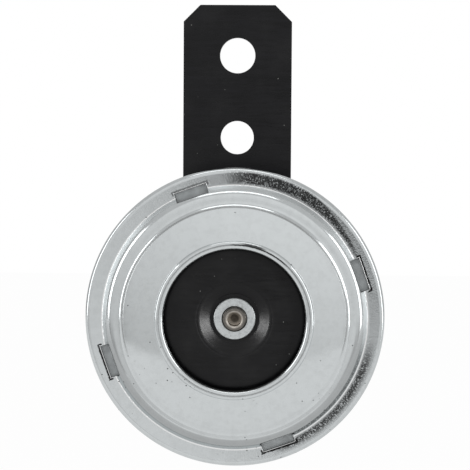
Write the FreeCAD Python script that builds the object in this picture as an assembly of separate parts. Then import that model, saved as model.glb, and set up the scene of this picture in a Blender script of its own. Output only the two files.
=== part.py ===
"""Disc horn for a vehicle, 12 V, 70 mm across, on a flat two-hole bracket.

A chromed pressed cover is rolled round the flange of a black pressed-steel housing. Between them it
clamps a thin steel diaphragm. The armature hangs from the middle of the diaphragm, inside a coil on a
fixed pole core, and carries a dished tone disc that shows in the mouth of the cover. When the armature
is pulled in, its collar opens a contact breaker. A screw in the back of the housing sets the breaker,
and two blade terminals feed it.

Frame, in millimetres: +Z up along the bracket, +Y backwards, away from the listener. The origin is the
centre of the bracket's upper hole, on the bracket's back face. The horn's own axis is parallel to Y.
Stations along that axis are written as "ahead": the distance forward of the bracket's back face.

Across the axis the horn is sized outwards from the plunger: coil, contact breaker, housing wall, flange
and cover each take their place from the one inside it.
"""

import FreeCAD
import Part
import math
import os

Vector = FreeCAD.Vector
FORWARD = Vector(0, -1, 0)

# Mounting bracket, a flat strip with clipped corners
strip_width = 26.0
strip_thickness = 2.0
corner_cut = 4.0
end_to_upper_hole = 12.1
upper_hole_diameter = 8.5
lower_hole_diameter = 8.0
hole_pitch = 19.7
upper_hole_to_axis = 61.5
strip_tail = 13.0

# Centre stud (M6) with its nut and spring washer
stud_diameter = 6.0
stud_hole_clearance = 0.1
nut_across_flats = 10.0
nut_height = 5.0
nut_chamfer = 0.8
spring_washer_diameter = 11.8
spring_washer_thickness = 1.6
spring_washer_gap = 1.0
spring_washer_cut_angle = 30.0
stud_past_nut = 2.0
stud_chamfer = 0.6

# Housing, a drawn cup with a flange and a raised boss at the back
housing_sheet = 1.0
housing_draft = 0.4
housing_flange_width = 5.4
housing_corner_radius = 2.5
housing_flange_bend = 1.4
boss_radius = 11.8
boss_rise = 1.5
boss_slope = 1.0
boss_bend = 1.0
flange_station = 17.0
flange_side_gap = 0.6

# Clamped stack on the flange, from the back forwards
gasket_thickness = 0.5
rear_gasket_past_bend = 1.0
front_gasket_past_slot = 1.0
diaphragm_sheet = 0.3

# Front cover, seen from the front: rim, flange, foot, land, step, dome and bead round the mouth
cover_sheet = 0.6
cover_flange_width = 4.2
rim_grip = 1.2
rim_bend = 0.9
foot_bend = 0.6
wall_run = 1.7
wall_rise = 2.2
land_width = 2.5
land_rise = 0.3
step_run = 0.7
step_rise = 0.8
dome_slope_run = 4.0
dome_slope_rise = 1.78
dome_crown_rise = 1.06
dome_to_bead = 0.2
bead_height = 0.6
bead_width = 1.3
mouth_diameter = 32.8
mouth_return = 1.6
shoulder_bend = 2.5
step_foot_bend = 2.0
step_top_bend = 1.0
dome_bend = 50.0
bead_foot_bend = 0.45
bead_outer_bend = 0.5
bead_mouth_bend = 0.7
slot_count = 4
slot_length = 7.6
slot_width = 2.1
slot_past_foot = 1.05
slot_corner_radius = 0.3
slot_lip_width = 0.3
slot_lip_height = 0.15
slot_lip_rounding = 0.8
slot_groove_width = 0.4
slot_groove_depth = 0.25
slot_groove_hook = 0.4
first_slot_angle = 19.4

# Diaphragm
diaphragm_dish = 0.8
diaphragm_centre_radius = 8.5
diaphragm_slope_run = 4.5
diaphragm_bend = 3.0
corrugation_to_gasket = 7.3
corrugation_half_width = 2.6
corrugation_depth = 0.5

# Moving group: armature, spacer, tone disc and centre washer
armature_diameter = 13.0
armature_length = 8.1
collar_diameter = 21.0
collar_thickness = 1.5
collar_to_armature_end = 2.05
rivet_shank_diameter = 5.2
shank_clearance = 0.1
shank_proud = 1.7
shank_end_chamfer = 0.1
stake_width = 0.2
stake_height = 0.5
shank_hole_diameter = 3.2
shank_hole_depth = 3.2
shank_countersink = 0.25
armature_chamfer = 0.5
drill_point_angle = 118.0
spacer_diameter = 11.0
spacer_thickness = 0.8
tone_disc_sheet = 0.8
tone_disc_to_foot = 4.8
tone_hub_radius = 5.9
tone_wall_run = 2.9
tone_wall_rise = 2.1
tone_crown_radius = 16.0
tone_crown_fall = 0.15
tone_edge_fall = 2.45
tone_hub_bend = 0.9
tone_wall_bend = 1.8
tone_crown_bend = 12.0
washer_diameter = 9.7
washer_thickness = 1.0
washer_chamfer = 0.3

# Magnet: pole core and coil
air_gap = 0.6
bobbin_bore_clearance = 0.7
bobbin_wall = 1.0
bobbin_to_bush = 0.2
bobbin_to_collar = 1.0
winding_depth = 7.2
winding_margin = 0.6

# Contact breaker, on the +X side of the coil
breaker_width = 8.4
base_sheet = 1.2
base_length = 7.8
base_to_wall = 2.7
base_bend = 1.1
shelf_gap = 0.05
insulator_thickness = 0.8
middle_insulator_thickness = 1.2
moving_arm_sheet = 0.3
fixed_arm_sheet = 0.5
collar_overlap = 1.1
arm_root_width = 7.6
arm_tip_width = 4.6
stack_length = 6.4
contact_point_to_collar = 2.5
contact_point_diameter = 2.6
contact_point_to_tip = 1.8
rivet_to_edge = 2.8
rivet_spacing = 5.2
rivet_diameter = 2.0
rivet_head_diameter = 2.8
rivet_head_height = 0.7
arm_hole_clearance = 0.5
tail_length = 2.4
tail_width = 3.0

# Adjusting screw (M4) with its riveted bush and lock nut
adjuster_to_edge = 5.0
adjuster_diameter = 4.0
adjuster_running_clearance = 0.04
adjuster_point_diameter = 2.4
adjuster_point_length = 2.2
adjuster_past_nut = 2.0
adjuster_slot_width = 0.8
adjuster_slot_depth = 1.2
bush_diameter = 6.0
bush_flange_diameter = 7.2
bush_flange_thickness = 1.0
bush_seat_clearance = 0.05
lock_nut_across_flats = 7.0
lock_nut_height = 2.4
lock_nut_chamfer = 0.5

# Blade terminals on a moulded insulator, below the bracket
terminal_x = 8.0
terminal_to_coil = 2.8
blade_width = 6.3
blade_sheet = 0.8
blade_length = 9.0
blade_hole_diameter = 1.8
blade_hole_to_tip = 3.4
blade_tip_cut = 1.0
blade_bend = 0.7
foot_above_rivet = 2.6
foot_below_rivet = 4.4
insulator_plate_thickness = 1.5
inner_insulator_thickness = 1.0
insulator_to_bend = 0.2
insulator_top_margin = 3.3
insulator_side_margin = 5.0
insulator_collar_diameter = 4.4
inner_insulator_side_margin = 3.4
inner_insulator_to_coil = 0.5
terminal_rivet_diameter = 3.0
terminal_rivet_head_diameter = 4.4
terminal_rivet_head_height = 0.8
tag_width = 5.0
tag_length = 6.4
tag_thickness = 0.5

# Enamelled wires inside the housing
wire_diameter = 0.7
solder_gap = 0.02
arc_share = 0.45
lead_angle = 45.0
lead_above_tag = 2.4
coil_lead_bow = 2.0
breaker_lead_bow = 4.0
solder_to_tail_end = 0.6
solder_below_rivet = 1.2

# Most of a straight run that the two bends at its ends may take up
bend_share = 0.98

# Stations ahead of the bracket's back face, worked out from the sizes above
boss_back = strip_thickness
housing_back = boss_back + boss_rise
housing_floor = housing_back + housing_sheet
boss_floor = boss_back + housing_sheet
flange_front = flange_station + housing_sheet / 2
flange_back = flange_station - housing_sheet / 2
diaphragm_back = flange_front + gasket_thickness
diaphragm_front = diaphragm_back + diaphragm_sheet
cover_flange_back = diaphragm_front + gasket_thickness
diaphragm_centre_back = diaphragm_back + diaphragm_dish
diaphragm_centre_front = diaphragm_front + diaphragm_dish
tone_hub_back = diaphragm_centre_front + spacer_thickness
tone_hub_front = tone_hub_back + tone_disc_sheet
washer_front = tone_hub_front + washer_thickness
shank_front = washer_front + shank_proud
armature_end = diaphragm_centre_back - armature_length
pole_face = armature_end - air_gap
collar_back = armature_end + collar_to_armature_end
bobbin_front = collar_back - bobbin_to_collar
moving_arm_front = collar_back - shelf_gap
moving_arm_back = moving_arm_front - moving_arm_sheet
shelf_front = moving_arm_back - insulator_thickness
fixed_arm_back = moving_arm_front + middle_insulator_thickness
fixed_arm_front = fixed_arm_back + fixed_arm_sheet
stack_front = fixed_arm_front + insulator_thickness
terminal_foot_front = housing_back - insulator_plate_thickness
terminal_foot_back = terminal_foot_front - blade_sheet
inner_insulator_front = housing_floor + inner_insulator_thickness
tag_front = inner_insulator_front + tag_thickness

# Places across the axis, from the plunger outwards
armature_radius = armature_diameter / 2
bobbin_bore_radius = armature_radius + bobbin_bore_clearance
bobbin_tube_radius = bobbin_bore_radius + bobbin_wall
winding_radius = bobbin_tube_radius + winding_depth
bobbin_radius = winding_radius + winding_margin
adjuster_x = bobbin_radius + bobbin_to_bush + bush_flange_diameter / 2
base_outer_x = adjuster_x + adjuster_to_edge
housing_back_radius = base_outer_x + base_to_wall + housing_sheet / 2
housing_mouth_radius = housing_back_radius + housing_draft
flange_radius = housing_mouth_radius + housing_flange_width
cover_radius = flange_radius + flange_side_gap + cover_sheet
rear_gasket_inner_radius = housing_mouth_radius + housing_flange_bend + rear_gasket_past_bend
corrugation_radius = rear_gasket_inner_radius - corrugation_to_gasket

# Places on the cover, from its rim inwards
cover_return_radius = flange_radius - rim_grip
foot_radius = cover_radius - cover_flange_width
land_outer_radius = foot_radius - wall_run
land_inner_radius = land_outer_radius - land_width
dome_foot_radius = land_inner_radius - step_run
dome_shoulder_radius = dome_foot_radius - dome_slope_run
slot_outer_radius = foot_radius + slot_past_foot
front_gasket_inner_radius = slot_outer_radius - slot_width - front_gasket_past_slot
tone_disc_radius = foot_radius - tone_disc_to_foot

# Places of the breaker, the terminals and the wires
collar_radius = collar_diameter / 2
base_inner_x = base_outer_x - base_length
rivet_x = base_outer_x - rivet_to_edge
stack_inner_x = base_outer_x - stack_length
contact_point_x = collar_radius + contact_point_to_collar + contact_point_diameter / 2
fixed_arm_inner_x = contact_point_x - contact_point_to_tip
arm_tail_x = base_outer_x - tail_width / 2
arm_tail_z = arm_root_width / 2 + tail_length / 2
terminal_drop = bobbin_radius + terminal_to_coil
insulator_edge = housing_back_radius - housing_sheet / 2 - housing_corner_radius - insulator_to_bend
tag_outer_x = terminal_x - tag_width / 2 + tag_length
tag_wire_x = tag_outer_x - wire_diameter
wire_lift = wire_diameter / 2 + solder_gap
lead_start = (winding_radius + wire_lift) * math.sin(math.radians(lead_angle))
tag_wire = tag_front + wire_lift


def on_axis(x, ahead, z=0.0):
    """A point set off from the horn's axis: x to the side, z up, ahead of the bracket's back face."""
    return Vector(x, -ahead, z - upper_hole_to_axis)


def turned(edges):
    """The solid of revolution of a closed section about the horn's axis."""
    face = Part.Face(Part.Wire(edges))
    solid = face.revolve(on_axis(0, 0), Vector(0, 1, 0), 360)
    if solid.Volume < 0:
        solid.reverse()
    return solid


def polygon_edges(points):
    """Straight edges through (radius, ahead) points, closed."""
    corners = [on_axis(radius, ahead) for radius, ahead in points]
    return [Part.makeLine(a, b) for a, b in zip(corners, corners[1:] + corners[:1])]


def turned_polygon(points):
    """A turned solid from a straight-sided (radius, ahead) section."""
    return turned(polygon_edges(points))


def ring(inner_radius, outer_radius, back, front):
    """A plain ring or, with no inner radius, a plain disc on the horn's axis."""
    return turned_polygon(
        [(inner_radius, back), (outer_radius, back), (outer_radius, front), (inner_radius, front)]
    )


def fitted_bends(flat, bends):
    """The bend radii at a sheet's inner points, each no larger than the runs beside it have room for."""
    setbacks = [0]
    for before, corner, after, bend in zip(flat, flat[1:], flat[2:], bends):
        turn = (corner - before).getAngle(after - corner)
        setbacks.append(bend * math.tan(turn / 2))
    setbacks.append(0)
    shares = []
    for start, end, first, second in zip(flat, flat[1:], setbacks, setbacks[1:]):
        room = bend_share * (end - start).Length
        shares.append(room / (first + second) if first + second > room else 1)
    return [bend * min(before, after) for bend, before, after in zip(bends, shares, shares[1:])]


def sheet_section(points, bends, thickness):
    """Closed edges of a bent sheet's section. points are (radius, ahead) on its middle surface, and
    bends gives the middle bend radius at each inner point."""
    flat = [Vector(radius, ahead, 0) for radius, ahead in points]
    stretches = []
    start = flat[0]
    for before, corner, after, bend in zip(flat, flat[1:], flat[2:], fitted_bends(flat, bends)):
        incoming = (corner - before).normalize()
        outgoing = (after - corner).normalize()
        turn = incoming.getAngle(outgoing)
        setback = bend * math.tan(turn / 2)
        arc_start = corner - incoming * setback
        arc_end = corner + outgoing * setback
        inward = (outgoing - incoming).normalize()
        centre = corner + inward * (bend / math.cos(turn / 2))
        stretches.append(("line", start, arc_start))
        stretches.append(("arc", arc_start, centre - inward * bend, arc_end, centre))
        start = arc_end
    stretches.append(("line", start, flat[-1]))

    def side(sign):
        edges = []
        for stretch in stretches:
            if stretch[0] == "line":
                _, first, last = stretch
                along = (last - first).normalize()
                normal = Vector(-along.y, along.x, 0) * (sign * thickness / 2)
                edges.append(("line", first + normal, last + normal))
            else:
                _, first, middle, last, centre = stretch
                along = (last - first).normalize()
                normal = Vector(-along.y, along.x, 0) * sign
                outward = 1 if (middle - centre).dot(normal) > 0 else -1
                radius = (first - centre).Length
                factor = (radius + outward * thickness / 2) / radius
                edges.append(("arc", *[centre + (p - centre) * factor for p in (first, middle, last)]))
        return edges

    def made(stretch):
        placed = [on_axis(p.x, p.y) for p in stretch[1:]]
        if stretch[0] == "line":
            return Part.makeLine(*placed)
        return Part.Arc(*placed).toShape()

    left, right = side(1), side(-1)
    ends = [("line", left[0][1], right[0][1]), ("line", left[-1][-1], right[-1][-1])]
    return Part.sortEdges([made(stretch) for stretch in left + right + ends])[0]


def pressed(points, bends, thickness):
    """A pressed sheet part that is round about the horn's axis."""
    return turned(sheet_section(points, bends, thickness))


def block(x_range, ahead_range, z_range):
    """A box between two sides, two stations and two heights beside the horn's axis."""
    x_low, x_high = x_range
    back, front = ahead_range
    z_low, z_high = z_range
    corner = on_axis(x_low, front, z_low)
    return Part.makeBox(x_high - x_low, front - back, z_high - z_low, corner)


def rod(diameter, x, z, back, front):
    """A round bar parallel to the horn's axis."""
    return Part.makeCylinder(diameter / 2, front - back, on_axis(x, back, z), FORWARD)


def plate(outline, back, front):
    """A flat plate across the horn's axis, from its (x, z) outline."""
    corners = [on_axis(x, back, z) for x, z in outline]
    face = Part.Face(Part.makePolygon(corners + corners[:1]))
    return face.extrude(FORWARD * (front - back))


def hex_nut(across_flats, chamfer, hole_diameter, x, z, back, front):
    """A hexagon nut with its corners turned off at both ends."""
    corner_radius = across_flats / math.sqrt(3)
    angles = [math.pi / 3 * (i + 0.5) for i in range(6)]
    prism = plate(
        [(x + corner_radius * math.cos(a), z + corner_radius * math.sin(a)) for a in angles], back, front
    )
    taper = Part.makeCone(
        corner_radius - chamfer, corner_radius - chamfer + (front - back), front - back,
        on_axis(x, back, z), FORWARD,
    )
    other_taper = Part.makeCone(
        corner_radius - chamfer, corner_radius - chamfer + (front - back), front - back,
        on_axis(x, front, z), -FORWARD,
    )
    return prism.common(taper).common(other_taper).cut(rod(hole_diameter, x, z, back, front))


def wire_along(points):
    """A round wire through (x, ahead, z) points, with each corner as one large tangent arc."""
    path = [on_axis(*p) for p in points]
    edges = []
    bends = []
    start = path[0]
    for before, corner, after in zip(path, path[1:], path[2:]):
        incoming, outgoing = corner - before, after - corner
        turn = incoming.getAngle(outgoing)
        setback = arc_share * min(incoming.Length, outgoing.Length)
        bend = setback / math.tan(turn / 2)
        incoming.normalize()
        outgoing.normalize()
        inward = (outgoing - incoming).normalize()
        middle = corner + inward * (bend / math.cos(turn / 2) - bend)
        arc_start = corner - incoming * setback
        arc_end = corner + outgoing * setback
        edges.append(Part.makeLine(start, arc_start))
        edges.append(Part.Arc(arc_start, middle, arc_end).toShape())
        bends.append(bend)
        start = arc_end
    edges.append(Part.makeLine(start, path[-1]))
    spine = Part.Wire(edges)
    section = Part.Wire(Part.makeCircle(wire_diameter / 2, path[0], path[1] - path[0]))
    tube = spine.makePipeShell([section], True, True)
    straight = math.pi * wire_diameter**2 / 4 * spine.Length
    print(f"wire: smallest bend {min(bends):.2f} mm, volume against its length {tube.Volume / straight:.4f}")
    return tube


def mounting_bracket():
    half = strip_width / 2
    top = upper_hole_to_axis + end_to_upper_hole
    bottom = -strip_tail
    outline = [
        (-half, bottom + corner_cut), (-half + corner_cut, bottom),
        (half - corner_cut, bottom), (half, bottom + corner_cut),
        (half, top - corner_cut), (half - corner_cut, top),
        (-half + corner_cut, top), (-half, top - corner_cut),
    ]
    strip = plate(outline, 0, strip_thickness)
    holes = [
        (upper_hole_diameter, upper_hole_to_axis),
        (lower_hole_diameter, upper_hole_to_axis - hole_pitch),
        (stud_diameter + 2 * stud_hole_clearance, 0),
    ]
    for diameter, height in holes:
        strip = strip.cut(rod(diameter, 0, height, 0, strip_thickness))
    return strip


def spring_washer():
    """A flattened split washer with its slanting cut."""
    inner = stud_diameter / 2 + stud_hole_clearance
    body = ring(inner, spring_washer_diameter / 2, -spring_washer_thickness, 0)
    gap = block(
        (-spring_washer_gap / 2, spring_washer_gap / 2),
        (-2 * spring_washer_thickness, spring_washer_thickness),
        (inner / 2, spring_washer_diameter),
    )
    gap.rotate(on_axis(0, -spring_washer_thickness / 2), Vector(0, 0, 1), spring_washer_cut_angle)
    return body.cut(gap)


def bracket_nut():
    front = -spring_washer_thickness
    return hex_nut(nut_across_flats, nut_chamfer, stud_diameter, 0, 0, front - nut_height, front)


def housing():
    """The drawn cup: boss, floor, slightly tapered wall and flange, with its holes."""
    middle_of_boss = boss_back + housing_sheet / 2
    middle_of_floor = housing_back + housing_sheet / 2
    stud_hole = stud_diameter / 2 + stud_hole_clearance
    points = [
        (stud_hole, middle_of_boss), (boss_radius, middle_of_boss),
        (boss_radius + boss_slope, middle_of_floor), (housing_back_radius, middle_of_floor),
        (housing_mouth_radius, flange_station), (flange_radius, flange_station),
    ]
    bends = [boss_bend, boss_bend, housing_corner_radius, housing_flange_bend]
    cup = pressed(points, bends, housing_sheet)
    cup = cup.cut(rod(bush_diameter, adjuster_x, 0, housing_back, housing_floor))
    for hole in terminal_holes(insulator_collar_diameter, housing_back, housing_floor):
        cup = cup.cut(hole)
    return cup


def rounded_upright(piece, radius):
    """A block with the edges that run along the horn's axis rounded."""
    upright = [e for e in piece.Edges if abs(e.tangentAt(e.FirstParameter).y) > 0.99]
    return piece.makeFillet(radius, upright)


def slot_lip():
    """The burr that the punch turns up along the outer side of a slot, at twelve o'clock."""
    front = cover_flange_back + cover_sheet + slot_lip_height
    half = slot_length / 2 + slot_lip_width
    lip = block(
        (-half, half), (front - cover_sheet, front),
        (slot_outer_radius - slot_width / 2, slot_outer_radius + slot_lip_width),
    )
    lip = rounded_upright(lip, slot_corner_radius + slot_lip_width / 2)
    crest = [e for e in lip.Edges if abs(e.CenterOfMass.y + front) < 1e-6]
    return lip.makeFillet(slot_lip_height * slot_lip_rounding, crest)


def slot_groove():
    """The mark that the die leaves round the outside of a slot's lip, at twelve o'clock."""
    front = cover_flange_back + cover_sheet
    half = slot_length / 2 + slot_lip_width + slot_groove_width
    groove = block(
        (-half, half), (front - slot_groove_depth, front + slot_lip_height),
        (slot_outer_radius - slot_groove_hook, slot_outer_radius + slot_lip_width + slot_groove_width),
    )
    return rounded_upright(groove, slot_corner_radius + slot_lip_width / 2)


def slot_punch():
    """The punch of one slot, which passes straight through the cover's foot and flange."""
    half = slot_length / 2
    front = cover_flange_back + 2 * cover_sheet + wall_rise + land_rise
    punch = block(
        (-half, half), (cover_flange_back, front), (slot_outer_radius - slot_width, slot_outer_radius)
    )
    return rounded_upright(punch, slot_corner_radius)


def front_cover():
    """The pressed cover, rolled round the flange at its rim and beaded round its mouth."""
    half = cover_sheet / 2
    rim_middle = cover_radius - half
    flange = cover_flange_back + half
    land = flange + wall_rise
    step_foot = land + land_rise
    step_top = step_foot + step_rise
    shoulder = step_top + dome_slope_rise
    crown = shoulder + dome_crown_rise
    bead = crown + bead_height
    mouth_middle = mouth_diameter / 2 + half
    bead_outer = mouth_middle + bead_width
    points = [
        (cover_return_radius, flange_back - half), (rim_middle, flange_back - half),
        (rim_middle, flange), (foot_radius, flange),
        (land_outer_radius, land), (land_inner_radius, step_foot),
        (dome_foot_radius, step_top), (dome_shoulder_radius, shoulder),
        (bead_outer + dome_to_bead, crown), (bead_outer, bead),
        (mouth_middle, bead), (mouth_middle, bead - mouth_return),
    ]
    bends = [rim_bend, rim_bend, foot_bend, shoulder_bend, step_foot_bend, step_top_bend]
    bends += [dome_bend, bead_foot_bend, bead_outer_bend, bead_mouth_bend]
    cover = pressed(points, bends, cover_sheet)
    for i in range(slot_count):
        turn = first_slot_angle + i * 360 / slot_count - 90
        tools = [slot_groove(), slot_lip(), slot_punch()]
        for tool in tools:
            tool.rotate(on_axis(0, 0), FORWARD, turn)
        groove, lip, punch = tools
        cover = cover.cut(groove).fuse(lip).cut(punch)
    return cover


def diaphragm():
    """Thin sprung disc: flat rim, a corrugation dipping backwards, and a dished centre."""
    rim = diaphragm_back + diaphragm_sheet / 2
    centre = rim + diaphragm_dish
    dip = rim - corrugation_depth
    points = [
        (rivet_shank_diameter / 2 + shank_clearance, centre), (diaphragm_centre_radius, centre),
        (diaphragm_centre_radius + diaphragm_slope_run, rim),
        (corrugation_radius - corrugation_half_width, rim), (corrugation_radius, dip),
        (corrugation_radius + corrugation_half_width, rim), (flange_radius, rim),
    ]
    bends = [diaphragm_bend] * (len(points) - 2)
    return pressed(points, bends, diaphragm_sheet)


def armature():
    """Plunger with a collar at the back. Its shank, staked in front of the washer, holds the group."""
    radius = armature_radius
    shank = rivet_shank_diameter / 2
    hole = shank_hole_diameter / 2
    hole_floor = shank_front - shank_hole_depth
    point = hole_floor - hole / math.tan(math.radians(drill_point_angle / 2))
    stake_back = washer_front - stake_height / 2
    stake_front = washer_front + stake_height / 2
    return turned_polygon([
        (0, armature_end), (radius - armature_chamfer, armature_end),
        (radius, armature_end + armature_chamfer), (radius, collar_back), (collar_radius, collar_back),
        (collar_radius, collar_back + collar_thickness), (radius, collar_back + collar_thickness),
        (radius, diaphragm_centre_back), (shank, diaphragm_centre_back), (shank, stake_back),
        (shank + stake_width, washer_front), (shank, stake_front),
        (shank, shank_front - shank_end_chamfer), (shank - shank_end_chamfer, shank_front),
        (hole + shank_countersink, shank_front), (hole, shank_front - shank_countersink),
        (hole, hole_floor), (0, point),
    ])


def tone_disc_spacer():
    bore = rivet_shank_diameter / 2 + shank_clearance / 2
    return ring(bore, spacer_diameter / 2, diaphragm_centre_front, tone_hub_back)


def tone_disc():
    """Dished resonator: sunk hub, steep wall up to a low crown, then a slope back to its edge."""
    hub = tone_hub_back + tone_disc_sheet / 2
    crown = hub + tone_wall_rise
    edge = crown - tone_crown_fall
    points = [
        (rivet_shank_diameter / 2 + shank_clearance / 2, hub), (tone_hub_radius, hub),
        (tone_hub_radius + tone_wall_run, crown), (tone_crown_radius, edge),
        (tone_disc_radius, edge - tone_edge_fall),
    ]
    bends = [tone_hub_bend, tone_wall_bend, tone_crown_bend]
    return pressed(points, bends, tone_disc_sheet)


def centre_washer():
    bore = rivet_shank_diameter / 2 + shank_clearance
    outer = washer_diameter / 2
    edge = washer_chamfer / 2
    return turned_polygon([
        (bore, tone_hub_front), (outer, tone_hub_front), (outer, washer_front - edge),
        (outer - edge, washer_front), (bore + washer_chamfer, washer_front),
        (bore, washer_front - washer_chamfer),
    ])


def pole_core():
    """Fixed core with the stud that passes back through the housing and the bracket."""
    radius = armature_radius
    stud = stud_diameter / 2
    tip = -spring_washer_thickness - nut_height - stud_past_nut
    return turned_polygon([
        (0, tip), (stud - stud_chamfer, tip), (stud, tip + stud_chamfer), (stud, boss_floor),
        (radius, boss_floor), (radius, pole_face), (0, pole_face),
    ])


def coil_bobbin():
    back_flange = housing_floor + bobbin_wall
    front_flange = bobbin_front - bobbin_wall
    return turned_polygon([
        (bobbin_bore_radius, housing_floor), (bobbin_radius, housing_floor),
        (bobbin_radius, back_flange), (bobbin_tube_radius, back_flange),
        (bobbin_tube_radius, front_flange), (bobbin_radius, front_flange),
        (bobbin_radius, bobbin_front), (bobbin_bore_radius, bobbin_front),
    ])


def coil_winding():
    back = housing_floor + bobbin_wall
    front = bobbin_front - bobbin_wall
    return ring(bobbin_tube_radius, winding_radius, back, front)


def rivet_holes(diameter, back, front):
    """The two holes that the breaker's rivets pass through."""
    return [rod(diameter, rivet_x, side * rivet_spacing / 2, back, front) for side in (-1, 1)]


def bored_for_rivets(piece, diameter):
    for hole in rivet_holes(diameter, housing_floor, stack_front):
        piece = piece.cut(hole)
    return piece


def contact_base():
    """Bent spring-steel base: foot under the bush, upright, and the shelf that the screw pushes."""
    half = breaker_width / 2
    foot = block((base_inner_x, base_outer_x), (housing_floor, housing_floor + base_sheet), (-half, half))
    upright = block(
        (base_outer_x - base_sheet, base_outer_x), (housing_floor, shelf_front), (-half, half)
    )
    shelf = block((base_inner_x, base_outer_x), (shelf_front - base_sheet, shelf_front), (-half, half))
    base = foot.fuse([upright, shelf]).removeSplitter()
    outer = [
        e for e in base.Edges
        if abs(e.tangentAt(e.FirstParameter).z) > 0.99 and abs(e.CenterOfMass.x - base_outer_x) < 1e-6
    ]
    base = base.makeFillet(base_bend, outer)
    bush_hole = rod(
        bush_diameter + 2 * bush_seat_clearance, adjuster_x, 0, housing_floor, housing_floor + base_sheet
    )
    return bored_for_rivets(base.cut(bush_hole), rivet_diameter)


def stack_plate(back, front):
    """One insulating plate of the breaker's stack."""
    half = breaker_width / 2
    piece = block((stack_inner_x, base_outer_x), (back, front), (-half, half))
    return bored_for_rivets(piece, rivet_diameter)


def arm(inner_x, back, front, tail_side):
    """A contact arm: root under the rivets, taper to the tip, and a tail for its wire on one side."""
    root = arm_root_width / 2
    tip = arm_tip_width / 2
    tail = base_outer_x - tail_width
    outline = [(inner_x, -tip), (stack_inner_x, -root), (base_outer_x, -root)]
    if tail_side < 0:
        outline[2:] = [(tail, -root), (tail, -root - tail_length), (base_outer_x, -root - tail_length)]
    if tail_side > 0:
        outline += [(base_outer_x, root + tail_length), (tail, root + tail_length), (tail, root)]
    else:
        outline.append((base_outer_x, root))
    outline += [(stack_inner_x, root), (inner_x, tip)]
    return bored_for_rivets(plate(outline, back, front), rivet_diameter + 2 * arm_hole_clearance)


def moving_contact_arm():
    return arm(collar_radius - collar_overlap, moving_arm_back, moving_arm_front, 1)


def fixed_contact_arm():
    return arm(fixed_arm_inner_x, fixed_arm_back, fixed_arm_front, -1)


def contact_point(back, front):
    return rod(contact_point_diameter, contact_point_x, 0, back, front)


def contact_rivets():
    """Two rivets through the stack, with a formed head at each end."""
    rivets = []
    for side in (-1, 1):
        z = side * rivet_spacing / 2
        back = shelf_front - base_sheet
        shank = rod(rivet_diameter, rivet_x, z, back, stack_front)
        heads = [
            rod(rivet_head_diameter, rivet_x, z, back - rivet_head_height, back),
            rod(rivet_head_diameter, rivet_x, z, stack_front, stack_front + rivet_head_height),
        ]
        rivets.append(shank.fuse(heads).removeSplitter())
    return Part.makeCompound(rivets)


def adjuster_bush():
    """Threaded bush, riveted through the housing floor over the foot of the contact base."""
    seat = housing_floor + base_sheet
    body = rod(bush_diameter, adjuster_x, 0, housing_back, seat + bush_flange_thickness)
    flange = rod(bush_flange_diameter, adjuster_x, 0, seat, seat + bush_flange_thickness)
    bore = adjuster_diameter + 2 * adjuster_running_clearance
    return body.fuse(flange).removeSplitter().cut(
        rod(bore, adjuster_x, 0, housing_back, seat + bush_flange_thickness)
    )


def adjuster_tail():
    """The station of the screw's slotted end, behind its lock nut."""
    return housing_back - lock_nut_height - adjuster_past_nut


def adjusting_screw():
    """Slotted screw whose plain point rests against the shelf of the contact base."""
    point = shelf_front - base_sheet
    shoulder = point - adjuster_point_length
    tail = adjuster_tail()
    screw = rod(adjuster_diameter, adjuster_x, 0, tail, shoulder)
    screw = screw.fuse(rod(adjuster_point_diameter, adjuster_x, 0, shoulder, point)).removeSplitter()
    slot = block(
        (adjuster_x - adjuster_diameter, adjuster_x + adjuster_diameter),
        (tail - adjuster_slot_depth, tail + adjuster_slot_depth),
        (-adjuster_slot_width / 2, adjuster_slot_width / 2),
    )
    return screw.cut(slot)


def adjuster_lock_nut():
    bore = adjuster_diameter + 2 * adjuster_running_clearance
    return hex_nut(
        lock_nut_across_flats, lock_nut_chamfer, bore, adjuster_x, 0,
        housing_back - lock_nut_height, housing_back,
    )


def terminal_holes(diameter, back, front):
    return [rod(diameter, side * terminal_x, -terminal_drop, back, front) for side in (-1, 1)]


def insulator_slab(side_margin, back, front):
    """A plate under both terminals, trimmed to the flat of the housing's back."""
    half = terminal_x + side_margin
    top = -terminal_drop + insulator_top_margin
    slab = block((-half, half), (back, front), (-insulator_edge, top))
    return slab.common(rod(2 * insulator_edge, 0, 0, back, front))


def terminal_insulator():
    """Outer moulding, with a collar round each rivet that lines the hole in the housing."""
    slab = insulator_slab(insulator_side_margin, terminal_foot_front, housing_back)
    collars = terminal_holes(insulator_collar_diameter, housing_back, housing_floor)
    slab = slab.fuse(collars).removeSplitter()
    for hole in terminal_holes(terminal_rivet_diameter, terminal_foot_front, housing_floor):
        slab = slab.cut(hole)
    return slab


def inner_terminal_insulator():
    slab = insulator_slab(inner_insulator_side_margin, housing_floor, inner_insulator_front)
    coil_room = rod(
        2 * (bobbin_radius + inner_insulator_to_coil), 0, 0, housing_floor, inner_insulator_front
    )
    slab = slab.cut(coil_room)
    for hole in terminal_holes(terminal_rivet_diameter, housing_floor, inner_insulator_front):
        slab = slab.cut(hole)
    return slab


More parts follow.
